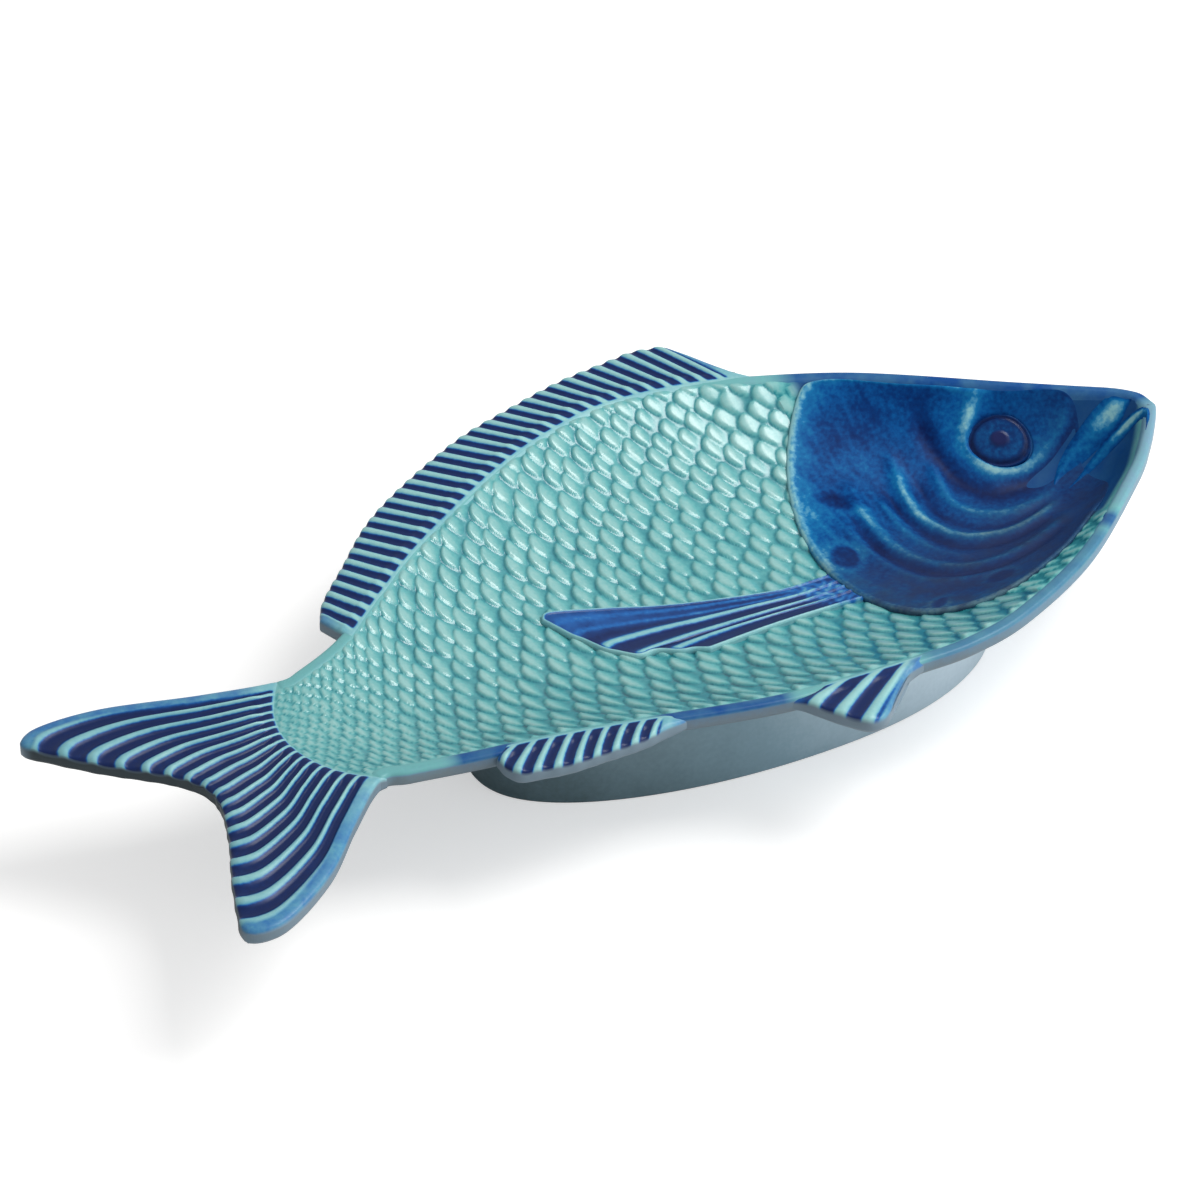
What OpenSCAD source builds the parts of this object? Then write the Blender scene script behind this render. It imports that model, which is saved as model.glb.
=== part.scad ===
/* [Bowl] */
// Length of the body from the tail seam to the nose
body_len = 339; // [290:1:400]
// Height of the back above the long axis
back_rise = 112; // [100:1:130]
// Depth of the belly below the long axis
belly_drop = 77; // [70:1:95]
// Depth of the well below the rim
well_depth = 30; // [22:0.5:38]
// Thickness of the fired clay
wall = 5.2; // [4:0.1:7]
// Width of the flat rim
rim_w = 4.5; // [3.5:0.1:7]
// Softening of the free edges
edge_r = 1.2; // [0.6:0.1:1.8]
// Bulge of the tail seam towards the tail
seam_bow = 15; // [6:0.5:20]

/* [Foot ring] */
// Length of the foot ring
foot_len = 202; // [170:1:220]
// Width of the foot ring
foot_w = 106; // [90:1:116]
// Thickness of the foot ring
foot_wall = 6.5; // [5:0.1:9]
// Spread of the foot ring at its top
foot_flare = 1.5; // [0:0.1:3]
// Height of the clay over the table
foot_clear = 12.8; // [9:0.1:25]

/* [Tail fin] */
// Length of the tail fin
tail_len = 86; // [75:1:110]
// Height of the upper tail lobe above the axis
tail_rise = 60; // [50:1:80]
// Depth of the lower tail lobe below the axis
tail_drop = 70; // [58:1:90]
// Number of ribs on the tail fin
tail_ribs = 18; // [10:1:20]

/* [Back fin] */
// Length of the longest ribs of the back fin
dorsal_h = 32; // [24:1:40]
// Number of ribs on the back fin
dorsal_ribs = 34; // [20:1:40]

/* [Belly fins] */
// Height of the small rear fin
anal_h = 13.5; // [8:0.5:20]
// Number of ribs on the small rear fin
anal_ribs = 9; // [5:1:12]
// Height of the front belly fin
pelvic_h = 23.5; // [16:0.5:30]
// Number of ribs on the front belly fin
pelvic_ribs = 5; // [3:1:8]

/* [Side fin] */
// Length of the side fin that lies in the well
pectoral_len = 103; // [80:1:120]
// Spread of the side fin
pectoral_w = 45; // [34:1:52]
// Number of rays on the side fin
pectoral_rays = 6; // [4:1:8]

/* [Head] */
// Thickness of the clay reliefs laid in the well
relief_t = 1.6; // [1.2:0.1:2.4]
// Height of the ribs and ridges
rib_rise = 1.1; // [0.6:0.1:1.6]
// Number of ridges between the eye and the gill edge
cheek_ridges = 5; // [3:1:7]
// Length of the eye
eye_len = 20; // [14:0.5:22]
// Width of the eye
eye_w = 12; // [8:0.5:13]
// Height of the eyeball
eye_rise = 3; // [2:0.1:4.5]
// Slant of the eye in degrees
eye_slant = -38; // [-45:1:-25]

/* [Hidden] */

// Slip that beds an applied relief or the foot ring on the bowl
slip = 0.2;
// Clear line between the eyeball and its socket
socket_gap = 0.4;
// Height of the rim's top over the table
rim_z = foot_clear + wall + well_depth;

// Facet counts of the surfaces
curve_steps = 8;
seam_cells = 5;
head_cells = 20;
width_cells = 16;
rib_cells = 4;

// Long outlines, as shares of body_len and of back_rise or belly_drop, from the tail seam to the nose
back_shares = [[0, 0.33], [0.03, 0.34], [0.091, 0.41], [0.168, 0.56], [0.245, 0.705], [0.369, 0.885],
               [0.448, 0.965], [0.531, 1], [0.619, 0.945], [0.664, 0.873], [0.779, 0.665],
               [0.903, 0.335], [0.95, 0.21], [0.982, 0.125], [0.997, 0.065], [1, 0.03]];
belly_shares = [[0, 0.344], [0.03, 0.375], [0.091, 0.455], [0.168, 0.545], [0.245, 0.655], [0.369, 0.85],
                [0.448, 0.925], [0.531, 0.98], [0.59, 1], [0.664, 0.955], [0.779, 0.765],
                [0.903, 0.42], [0.95, 0.255], [0.982, 0.12], [0.997, 0.045], [1, 0.01]];
// Depth of the well along the body, as shares of body_len and well_depth
depth_shares = [[-0.05, 0], [0, 0.08], [0.077, 0.24], [0.224, 0.54], [0.372, 0.77], [0.519, 0.9],
                [0.667, 1], [0.814, 1], [0.917, 0.82], [0.968, 0.45], [1, 0]];

// Point at share t between b and c of a smooth curve through a, b, c and d
function bend(a, b, c, d, t) =
    b + ((c - a) * t + (2 * a - 5 * b + 4 * c - d) * t * t + (3 * b - a - 3 * c + d) * t * t * t) / 2;
// Smooth curve through a list of points
function curve(p) = [
    for (i = [0 : len(p) - 2]) for (k = [0 : curve_steps - 1])
        bend(p[max(i - 1, 0)], p[i], p[i + 1], p[min(i + 2, len(p) - 1)], k / curve_steps),
    p[len(p) - 1]
];
// Point at share t of a polyline's own points
function along(p, t) =
    let (s = t * (len(p) - 1), i = min(floor(s), len(p) - 2)) p[i] + (p[i + 1] - p[i]) * (s - i);
// Shares scaled to a length and a height
function scaled(shares, long, high) = [for (s = shares) [s[0] * long, s[1] * high]];

back_line = curve(scaled(back_shares, body_len, back_rise));
belly_line = curve(scaled(belly_shares, body_len, -belly_drop));
depth_line = curve(scaled(depth_shares, body_len, well_depth));

// Height of a bowl-shaped face that meets the rim's height at a distance inside the outline
function bowl(x, y, inset) =
    let (top = lookup(x, back_line), low = lookup(x, belly_line), near = pow(max(x, 0) / body_len, 4))
    let (half = max((top - low) / 2 - inset, edge_r), off = min(abs(y - (top + low) / 2) / half, 1))
    rim_z - lookup(x + inset * near, depth_line) * (1 - off * off);
// Height of the bowl's upper face at a place in plan
function well(x, y) = bowl(x, y, rim_w);
// Height of the bowl's lower face, which leaves the wall thicker where it is steep
function under(x, y) = bowl(x, y, 0) - wall;
// A plan point lifted to a height above the bowl's upper face
function on_well(p, lift) = [p[0], p[1], well(p[0], p[1]) + lift];
// A plan point at a height
function at(p, z) = [p[0], p[1], z];
// Rounded ridge profile: 1 on a ridge and 0 in a groove
function ridge(turns) = (1 + cos(360 * turns)) / 2;

// Triangles over a grid of rows and columns of points; wrap closes each row into a ring
function skin(rows, cols, first, wrap, flip) = [
    for (j = [0 : rows - 2]) for (k = [0 : cols - (wrap ? 1 : 2)])
        let (a = first + j * cols + k, b = first + j * cols + (k + 1) % cols, c = b + cols, d = a + cols)
        for (t = flip ? [[a, c, b], [a, d, c]] : [[a, b, c], [a, c, d]]) t
];
// Triangles of the wall that joins an edge of the top grid to the same edge of the bottom grid
function hem(edge, down) = [
    for (i = [0 : len(edge) - 2])
        let (a = edge[i + 1], b = edge[i])
        for (t = [[a, b, b + down], [a, b + down, a + down]]) t
];
// Solid between an upper and a lower grid of points, each a list of rows
module slab(upper, lower, wrap = false, plug = false) {
    rows = len(upper);
    cols = len(upper[0]);
    count = rows * cols;
    head = [for (k = [0 : cols - (wrap ? 0 : 1)]) k % cols];
    foot = [for (k = head) k + count - cols];
    left = wrap ? [] : [for (j = [0 : rows - 1]) j * cols];
    right = wrap ? [] : [for (j = [0 : rows - 1]) j * cols + cols - 1];
    lid = plug ? [for (k = [1 : cols - 2]) [count - cols, count - cols + k, count - cols + k + 1]] : [];
    polyhedron(
        points = [for (grid = [upper, lower]) for (row = grid) for (p = row) p],
        faces = concat(
            skin(rows, cols, 0, wrap, false),
            skin(rows, cols, count, wrap, true),
            hem(head, count),
            plug ? [] : hem([for (i = [len(foot) - 1 : -1 : 0]) foot[i]], count),
            wrap ? [] : hem([for (i = [rows - 1 : -1 : 0]) left[i]], count),
            wrap ? [] : hem(right, count),
            lid,
            [for (t = lid) [t[2] + count, t[1] + count, t[0] + count]]
        )
    );
}

// Stations of the bowl: evenly to the back fin, one for each rib of that fin, then closing on the nose
dorsal_start_share = 0.091;
dorsal_end_share = 0.664;
dorsal_from = dorsal_start_share * body_len;
dorsal_to = dorsal_end_share * body_len;
stations = concat(
    [for (i = [0 : seam_cells - 1]) dorsal_from * i / seam_cells],
    [for (i = [0 : dorsal_ribs - 1]) dorsal_from + (dorsal_to - dorsal_from) * i / dorsal_ribs],
    [for (i = [0 : head_cells]) dorsal_to + (body_len - dorsal_to) * sin(90 * i / head_cells)]
);
// Index of the station nearest to a share of the body's length
function station(share) = len([for (x = stations) if (x < share * body_len) x]);
dorsal_i = [seam_cells, seam_cells + dorsal_ribs];
anal_i = [station(0.112), station(0.295)];
pelvic_i = [station(0.37), station(0.545)];

// Places across the bowl, measured from the belly edge at a station of width w
function crossings(w) =
    let (e = min(edge_r, w / 8), r = min(rim_w, w / 3))
    concat([0, e], [for (i = [0 : width_cells]) r + (w - 2 * r) * i / width_cells], [w - e, w]);
// Plan point of station i at a distance d from the belly edge; the first stations bow to the tail
function bowl_point(i, d) =
    let (x = stations[i], low = lookup(x, belly_line), w = lookup(x, back_line) - low, v = d / w)
    [x - seam_bow * pow(max(1 - x / (3 * seam_bow), 0), 2) * 4 * v * (1 - v), low + d];
function bowl_width(i) = lookup(stations[i], back_line) - lookup(stations[i], belly_line);
// Whether a station's edge carries a fin
function inside(i, span) = i >= span[0] && i <= span[1];
function finned(i, upper) = i == 0 || (upper ? inside(i, dorsal_i) : inside(i, anal_i) || inside(i, pelvic_i));
// Drop of the softened edge at place k across station i
function softened(i, k, last) =
    k == 0 && !finned(i, false) || k == last && !finned(i, true) ? edge_r : 0;

// The bowl: a leaf-shaped shell of even wall with a flat rim
module dish_body() {
    grid = [for (i = [0 : len(stations) - 1]) [for (d = crossings(bowl_width(i))) bowl_point(i, d)]];
    last = len(grid[0]) - 1;
    color("mediumaquamarine") slab(
        [for (i = [0 : len(grid) - 1]) [for (k = [0 : last]) on_well(grid[i][k], -softened(i, k, last))]],
        [for (i = [0 : len(grid) - 1]) [for (k = [0 : last])
            at(grid[i][k], k == 0 || k == last ? rim_z - wall + softened(i, k, last)
                                               : under(grid[i][k][0], grid[i][k][1]))]]
    );
}

// Egg-shaped outline of the foot, set in by a distance
foot_x_share = 0.469;
foot_y_share = 0.054;
foot_egg_share = 0.22;
foot_square_share = 0.92;
foot_cells = 72;
function foot_point(angle, inset) =
    let (c = cos(angle), s = sin(angle), u = sign(c) * pow(abs(c), foot_square_share))
    [foot_x_share * body_len + (foot_len / 2 - inset) * u,
     foot_y_share * back_rise
         + (foot_w / 2 - inset) * (1 + foot_egg_share * u) * sign(s) * pow(abs(s), foot_square_share)];

// The foot: an oval ring that the dish stands on
module foot_ring() {
    insets = [0, edge_r, foot_wall - edge_r, foot_wall];
    turns = [for (k = [0 : foot_cells - 1]) 360 * k / foot_cells];
    color("slategray") slab(
        [for (inset = insets) [for (t = turns)
            let (p = foot_point(t, inset - foot_flare)) at(p, under(p[0], p[1]) - slip)]],
        [for (j = [0 : 3]) [for (t = turns) at(foot_point(t, insets[j]), j == 0 || j == 3 ? edge_r : 0)]],
        wrap = true
    );
}

// Top edge of the bowl between two stations, cut into rib_cells parts a station
function edge_line(span, upper) =
    let (pts = [for (i = [span[0] : span[1]]) bowl_point(i, upper ? bowl_width(i) : 0)])
    [for (i = [0 : (len(pts) - 1) * rib_cells]) along(pts, i / rib_cells / (len(pts) - 1))];
// Rows of a fin between its root and its outer edge, as shares of the rib's length
fin_row_shares = [0, 0.14, 0.55, 0.94, 1];
// A ribbed fin of even thickness between a root line and an outer line with as many points
module fin(root, outer, ribs, flip) {
    cols = len(root) - 1;
    place = function (k, s) root[k] + (outer[k] - root[k]) * s;
    rise = function (k, s) s == 0 ? 0 : s == 1 ? -edge_r : rib_rise * ridge(ribs * k / cols) - rib_rise / 2;
    order = flip ? [for (j = [len(fin_row_shares) - 1 : -1 : 0]) j] : [for (j = [0 : len(fin_row_shares) - 1]) j];
    slab(
        [for (k = [0 : cols]) [for (j = order)
            at(place(k, fin_row_shares[j]), rim_z + rise(k, fin_row_shares[j]))]],
        [for (k = [0 : cols]) [for (j = order)
            at(place(k, fin_row_shares[j]), rim_z - wall + (fin_row_shares[j] == 1 ? edge_r : 0))]]
    );
}
// Outer line of a fin: a table of [share along the root, slant share, height share] of a height
function fin_outer(root, table, height, side) =
    let (line = curve(table), slant = [for (p = line) [p[0], p[1]]], tall = [for (p = line) [p[0], p[2]]])
    [for (k = [0 : len(root) - 1]) let (u = k / (len(root) - 1))
        root[k] + height * [-lookup(u, slant), side * lookup(u, tall)]];

// Back fin: many short ribs that lean to the tail
dorsal_shares = [[0, 0.03, 0.31], [0.06, 0.19, 0.36], [0.15, 0.25, 0.42], [0.3, 0.31, 0.55], [0.5, 0.34, 0.56],
                 [0.7, 0.34, 0.55], [0.85, 0.31, 0.71], [0.95, 0.28, 0.875], [1, 0.22, 1]];
module dorsal_fin() {
    root = edge_line(dorsal_i, true);
    color("royalblue") fin(root, fin_outer(root, dorsal_shares, dorsal_h, 1), dorsal_ribs, false);
}

// Small rear fin under the belly
anal_shares = [[0, 0.2, 0.3], [0.08, 0.3, 0.6], [0.3, 0.4, 1], [0.6, 0.4, 0.75], [0.85, 0.3, 0.4], [1, 0.1, 0.12]];
module anal_fin() {
    root = edge_line(anal_i, false);
    color("steelblue") fin(root, fin_outer(root, anal_shares, anal_h, -1), anal_ribs, true);
}

// Front belly fin, with its point towards the tail
pelvic_shares = [[0, -0.08, 0.15], [0.1, -0.2, 0.6], [0.2, -0.15, 0.95], [0.35, 0.02, 1], [0.55, 0.15, 0.85],
                 [0.8, 0.16, 0.4], [1, 0.1, 0.09]];
module pelvic_fin() {
    root = edge_line(pelvic_i, false);
    color("steelblue") fin(root, fin_outer(root, pelvic_shares, pelvic_h, -1), pelvic_ribs, true);
}

// Tail outlines as shares of tail_len and of tail_rise above or tail_drop below the axis
tail_upper_shares = [[0.279, 0.75], [0.628, 0.95], [0.884, 1], [1, 0.917]];
tail_lower_shares = [[0.209, -0.571], [0.442, -0.814], [0.72, -0.985], [0.895, -0.957]];
tail_fork_shares = [[0.756, -0.6], [0.628, -0.314], [0.547, -0.043], [0.605, 0.2], [0.802, 0.533]];
tail_row_shares = [0, 0.12, 0.3, 0.5, 0.72, 0.96, 1];
function tail_points(shares) = [for (s = shares) [-s[0] * tail_len, s[1] * (s[1] > 0 ? tail_rise : tail_drop)]];
// Tail fin: ribs fan out from the seam, with a forked end
module tail_fin() {
    seam = [for (d = crossings(bowl_width(0))) bowl_point(0, d)];
    cols = (len(seam) - 1) * rib_cells;
    root = [for (k = [0 : cols]) along(seam, k / cols)];
    start = seam[0];
    end = seam[len(seam) - 1];
    lower = curve(concat([start], tail_points(tail_lower_shares)));
    upper = curve(concat([end], tail_points(tail_upper_shares)));
    fork = curve(concat([lower[len(lower) - 1]], tail_points(tail_fork_shares), [upper[len(upper) - 1]]));
    // Blend of the four border lines at share a across the fin and share b along its ribs
    place = function (k, b) let (a = (root[k][1] - start[1]) / (end[1] - start[1]))
        root[k] * (1 - b) + along(fork, a) * b + along(lower, b) * (1 - a) + along(upper, b) * a
            - (start * (1 - b) + fork[0] * b) * (1 - a) - (end * (1 - b) + fork[len(fork) - 1] * b) * a;
    // The seam keeps the height of the bowl's corners between them, so both walls meet
    seam_z = [for (p = seam) well(p[0], p[1])];
    root_z = function (k) let (s = min(floor(k / rib_cells), len(seam) - 2))
        seam_z[s] + (seam_z[s + 1] - seam_z[s]) * (k / rib_cells - s);
    low_z = [for (i = [0 : len(seam) - 1])
        i == 0 || i == len(seam) - 1 ? rim_z - wall : under(seam[i][0], seam[i][1])];
    base_z = function (k) let (s = min(floor(k / rib_cells), len(seam) - 2))
        low_z[s] + (low_z[s + 1] - low_z[s]) * (k / rib_cells - s);
    rise = function (k, b) b == 1 ? -edge_r : rib_rise * ridge(tail_ribs * k / cols) - rib_rise / 2;
    color("royalblue") slab(
        [for (b = [for (i = [len(tail_row_shares) - 1 : -1 : 0]) tail_row_shares[i]]) [for (k = [0 : cols])
            at(place(k, b), b == 0 ? root_z(k) : rim_z + rise(k, b))]],
        [for (b = [for (i = [len(tail_row_shares) - 1 : -1 : 0]) tail_row_shares[i]]) [for (k = [0 : cols])
            at(place(k, b), b == 0 ? base_z(k) : rim_z - wall + (b == 1 ? edge_r : 0))]]
    );
}

// Side fin: root, borders and free end as shares of pectoral_len and pectoral_w, from the root to the tip
pectoral_root_share = 0.6;
pectoral_lower_shares = [[0, -0.24], [0.105, -0.178], [0.373, -0.156], [0.612, -0.167]];
pectoral_upper_shares = [[0, 0.244], [0.18, 0.267], [0.373, 0.389], [0.565, 0.533], [0.756, 0.7], [0.95, 0.822],
                         [1, 0.756]];
pectoral_end_shares = [[0.612, -0.167], [0.756, 0.022], [0.852, 0.089], [0.919, 0.333], [1, 0.756]];
pectoral_row_shares = [0, 0.12, 0.25, 0.4, 0.55, 0.7, 0.82, 0.95, 1];
function pectoral_line(shares) =
    curve([for (s = shares) [pectoral_root_share * body_len - s[0] * pectoral_len, s[1] * pectoral_w]]);
module pectoral_fin() {
    lower = pectoral_line(pectoral_lower_shares);
    upper = pectoral_line(pectoral_upper_shares);
    end = pectoral_line(pectoral_end_shares);
    cols = pectoral_rays * rib_cells;
    place = function (a, b)
        (lower[0] + (upper[0] - lower[0]) * a) * (1 - b) + along(end, a) * b
            + along(lower, b) * (1 - a) + along(upper, b) * a
            - (lower[0] * (1 - b) + end[0] * b) * (1 - a) - (upper[0] * (1 - b) + end[len(end) - 1] * b) * a;
    rows = [for (i = [len(pectoral_row_shares) - 1 : -1 : 0]) pectoral_row_shares[i]];
    rise = function (k, b) b == 0 || b == 1 || k == 0 || k == cols ? relief_t / 2
        : relief_t + rib_rise * ridge(pectoral_rays * k / cols);
    color("cornflowerblue") slab(
        [for (b = rows) [for (k = [0 : cols]) on_well(place(k / cols, b), slip + rise(k, b))]],
        [for (b = rows) [for (k = [0 : cols]) on_well(place(k / cols, b), slip)]]
    );
}

// Place of the eye, as shares of body_len and back_rise
eye_x_share = 0.867;
eye_y_share = 0.25;
eye_centre = [eye_x_share * body_len, eye_y_share * back_rise];
// Point on the eye's oval in the direction of an angle, with its half axes changed by grow
function eye_point(angle, grow) =
    let (a = eye_len / 2 + grow, b = eye_w / 2 + grow, t = angle - eye_slant)
    eye_centre + a * b / sqrt(pow(b * cos(t), 2) + pow(a * sin(t), 2)) * [cos(angle), sin(angle)];

// Border of the gill cover, from its front round the forehead and the gill edge to the throat
gill_shares = [[0.941, 0.18], [0.888, 0.325], [0.814, 0.52], [0.743, 0.685], [0.708, 0.68], [0.655, 0.5],
               [0.619, 0.223], [0.609, -0.07], [0.628, -0.32], [0.69, -0.433], [0.776, -0.37], [0.855, -0.214],
               [0.873, -0.036], [0.879, 0.09], [0.912, 0.148]];
gill_steps = 3;
ridge_rows = 3;
ridge_reach_share = 0.18;
// Gill cover: a thin plate round the eye, with ridges that follow the gill edge
module gill_cover() {
    pts = scaled(gill_shares, body_len, back_rise);
    n = len(pts);
    border = [for (i = [0 : n - 1]) for (k = [0 : gill_steps - 1])
        bend(pts[(i + n - 1) % n], pts[i], pts[(i + 1) % n], pts[(i + 2) % n], k / gill_steps)];
    socket = [for (p = border) let (q = p - eye_centre) eye_point(atan2(q[1], q[0]), socket_gap)];
    rows = cheek_ridges * ridge_rows;
    reach = ridge_reach_share * body_len;
    place = function (k, s) socket[k] + (border[k] - socket[k]) * (1 - s);
    rise = function (k, s) s == 0 ? relief_t / 2
        : relief_t + rib_rise * min(norm(border[k] - socket[k]) / reach, 1) * ridge(cheek_ridges * (1 - s));
    turn = [for (k = [len(border) - 1 : -1 : 0]) k];
    color("midnightblue") slab(
        [for (j = [0 : rows]) [for (k = turn) on_well(place(k, j / rows), slip + rise(k, j / rows))]],
        [for (j = [0 : rows]) [for (k = turn) on_well(place(k, j / rows), slip)]],
        wrap = true
    );
}

// Eyeball: a low dome with a raised pupil, set in the hole of the gill cover
eye_cells = 24;
eye_ring_shares = [[1, 0.2], [0.9, 0.45], [0.65, 0.7], [0.35, 0.8], [0.28, 1], [0.1, 1]];
module eyeball() {
    turn = [for (k = [eye_cells - 1 : -1 : 0]) 360 * k / eye_cells];
    place = function (t, s) eye_centre + (eye_point(t, 0) - eye_centre) * s;
    color("dodgerblue") slab(
        [for (ring = eye_ring_shares) [for (t = turn) on_well(place(t, ring[0]), slip + eye_rise * ring[1])]],
        [for (ring = eye_ring_shares) [for (t = turn) on_well(place(t, ring[0]), slip)]],
        wrap = true, plug = true
    );
}

// A jaw: a lip-shaped relief between two lines given as shares of body_len and back_rise
jaw_rows = 10;
jaw_row_shares = [0, 0.12, 0.35, 0.65, 0.88, 1];
module jaw(lower_shares, upper_shares) {
    lower = curve(scaled(lower_shares, body_len, back_rise));
    upper = curve(scaled(upper_shares, body_len, back_rise));
    place = function (t, s) along(lower, t) * (1 - s) + along(upper, t) * s;
    rise = function (t, s) relief_t / 2 + (t == 0 || t == 1 ? 0 : 1.6 * relief_t * sin(180 * s));
    slab(
        [for (j = [0 : jaw_rows]) [for (s = jaw_row_shares)
            on_well(place(j / jaw_rows, s), slip + rise(j / jaw_rows, s))]],
        [for (j = [0 : jaw_rows]) [for (s = jaw_row_shares) on_well(place(j / jaw_rows, s), slip)]]
    );
}
upper_jaw_low_shares = [[0.887, 0.031], [0.914, 0.029], [0.95, 0.04], [0.979, 0.027]];
upper_jaw_top_shares = [[0.889, 0.07], [0.914, 0.122], [0.944, 0.15], [0.965, 0.12], [0.979, 0.07]];
module upper_jaw() { color("teal") jaw(upper_jaw_low_shares, upper_jaw_top_shares); }
lower_jaw_low_shares = [[0.891, -0.134], [0.917, -0.116], [0.947, -0.08], [0.976, -0.036]];
lower_jaw_top_shares = [[0.885, 0.004], [0.917, 0], [0.953, 0.012], [0.979, 0.002]];
module lower_jaw() { color("darkcyan") jaw(lower_jaw_low_shares, lower_jaw_top_shares); }

// Middle of the outline in plan, which becomes the origin
module centred() {
    tail_end = -tail_len;
    root = edge_line(dorsal_i, true);
    top = max([for (p = fin_outer(root, dorsal_shares, dorsal_h, 1)) p[1]]);
    keel = edge_line(pelvic_i, false);
    low = min([for (p = fin_outer(keel, pelvic_shares, pelvic_h, -1)) p[1]]);
    translate([-(body_len + tail_end) / 2, -(top + low) / 2, 0]) children();
}

centred() dish_body();
centred() foot_ring();
centred() tail_fin();
centred() dorsal_fin();
centred() anal_fin();
centred() pelvic_fin();
centred() pectoral_fin();
centred() gill_cover();
centred() eyeball();
centred() upper_jaw();
centred() lower_jaw();
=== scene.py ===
"""A glazed earthenware platter in the shape of a fish, standing on its oval foot ring.

Every piece is a surface worked out with numpy. Lengths are in millimetres in the fish's own plan, whose x runs
from the tail seam to the nose and whose y runs from the long axis to the back, and become metres in the mesh.
"""
import bpy
import numpy as np
from mathutils import Matrix, Vector


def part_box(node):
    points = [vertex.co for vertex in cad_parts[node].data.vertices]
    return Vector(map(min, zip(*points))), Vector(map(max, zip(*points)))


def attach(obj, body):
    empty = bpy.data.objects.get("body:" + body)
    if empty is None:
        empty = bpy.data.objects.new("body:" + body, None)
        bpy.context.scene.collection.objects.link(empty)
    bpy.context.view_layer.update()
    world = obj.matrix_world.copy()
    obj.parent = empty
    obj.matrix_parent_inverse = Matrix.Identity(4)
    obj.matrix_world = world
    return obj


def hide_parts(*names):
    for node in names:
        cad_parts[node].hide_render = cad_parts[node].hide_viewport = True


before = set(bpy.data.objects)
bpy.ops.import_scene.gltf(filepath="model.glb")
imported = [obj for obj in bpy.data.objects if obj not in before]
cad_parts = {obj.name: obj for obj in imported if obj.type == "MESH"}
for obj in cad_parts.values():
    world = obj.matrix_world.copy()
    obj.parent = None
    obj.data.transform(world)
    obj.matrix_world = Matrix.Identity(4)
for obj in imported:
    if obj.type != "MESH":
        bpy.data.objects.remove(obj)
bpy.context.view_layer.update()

# Camera and studio
# The camera stands at the photograph's viewpoint, some way off with a long lens. The platter is on a pale table
# under one large soft lamp that hangs over its back, with a weaker lamp in front and an even room round it.
camera_target = np.array([-14.4, -6.2, 48.0]) / 1000
camera_distance = 1.7
camera_azimuth, camera_elevation = np.radians(-35.0), np.radians(36.0)
camera_lens, camera_sensor = 154.0, 36.0
cos_a, sin_a = np.cos(camera_azimuth), np.sin(camera_azimuth)
cos_e, sin_e = np.cos(camera_elevation), np.sin(camera_elevation)
view_right = np.array([cos_a, sin_a, 0.0])
view_back = np.array([sin_a * cos_e, -cos_a * cos_e, sin_e])
view_up = np.cross(view_back, view_right)
camera = bpy.data.objects.new("camera", bpy.data.cameras.new("camera"))
camera.data.lens, camera.data.sensor_width = camera_lens, camera_sensor
camera.matrix_world = Matrix([[*row, place] for row, place in zip(
    np.stack([view_right, view_up, view_back], 1), camera_target + view_back * camera_distance)] + [[0, 0, 0, 1]])
bpy.context.scene.collection.objects.link(camera)
bpy.context.scene.camera = camera


def linear(red, green, blue):
    """The linear colour of an sRGB triple from 0 to 255: ((c + 0.055) / 1.055) to the power 2.4, or c / 12.92."""
    c = np.array([red, green, blue]) / 255
    return tuple(np.where(c > 0.04045, ((c + 0.055) / 1.055) ** 2.4, c / 12.92)) + (1.0,)


def soft_lamp(name, place, size, power, tint):
    """A square lamp at place, turned to the middle of the platter."""
    lamp = bpy.data.lights.new(name, "AREA")
    lamp.size, lamp.energy, lamp.color = size, power, tint
    holder = bpy.data.objects.new(name, lamp)
    holder.location = place
    holder.rotation_euler = (Vector((0, 0, 0.03)) - Vector(place)).to_track_quat("-Z", "Y").to_euler()
    bpy.context.scene.collection.objects.link(holder)


soft_lamp("window", (0.66, -0.28, 1.1), 0.7, 12.5, (1.0, 0.99, 0.97))
soft_lamp("front_fill", (0.95, -1.25, 0.55), 1.4, 10.0, (0.95, 0.98, 1.0))

world = bpy.data.worlds.new("room")
bpy.context.scene.world = world
world.use_nodes = True
room = world.node_tree
background = room.nodes["Background"]
camera_ray = room.nodes.new("ShaderNodeLightPath")
shade = room.nodes.new("ShaderNodeMapRange")
room_light, room_seen = 0.45, 1.0
shade.inputs["To Min"].default_value, shade.inputs["To Max"].default_value = room_light, room_seen
room.links.new(camera_ray.outputs["Is Camera Ray"], shade.inputs["Value"])
room.links.new(shade.outputs["Result"], background.inputs["Strength"])
background.inputs["Color"].default_value = (1.0, 1.0, 1.0, 1.0)

table_size = 6.0
half_table = table_size / 2
table_mesh = bpy.data.meshes.new("table")
table_mesh.from_pydata([(-half_table, -half_table, 0), (half_table, -half_table, 0), (half_table, half_table, 0),
                        (-half_table, half_table, 0)], [], [(0, 1, 2, 3)])
table = bpy.data.objects.new("table", table_mesh)
bpy.context.scene.collection.objects.link(table)
table_paint = bpy.data.materials.new("table_paint")
table_paint.use_nodes = True
nodes, links = table_paint.node_tree.nodes, table_paint.node_tree.links
nodes["Principled BSDF"].inputs["Base Color"].default_value = (0.7, 0.7, 0.7, 1.0)
nodes["Principled BSDF"].inputs["Roughness"].default_value = 0.9
nodes["Principled BSDF"].inputs["Specular IOR Level"].default_value = 0.1
nodes["Principled BSDF"].inputs["Emission Color"].default_value = (1.0, 1.0, 1.0, 1.0)
sight = nodes.new("ShaderNodeLightPath")
table_glow = 0.5
glow = nodes.new("ShaderNodeMath")
glow.operation = "MULTIPLY"
glow.inputs[1].default_value = table_glow
links.new(sight.outputs["Is Camera Ray"], glow.inputs[0])
links.new(glow.outputs[0], nodes["Principled BSDF"].inputs["Emission Strength"])
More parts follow.
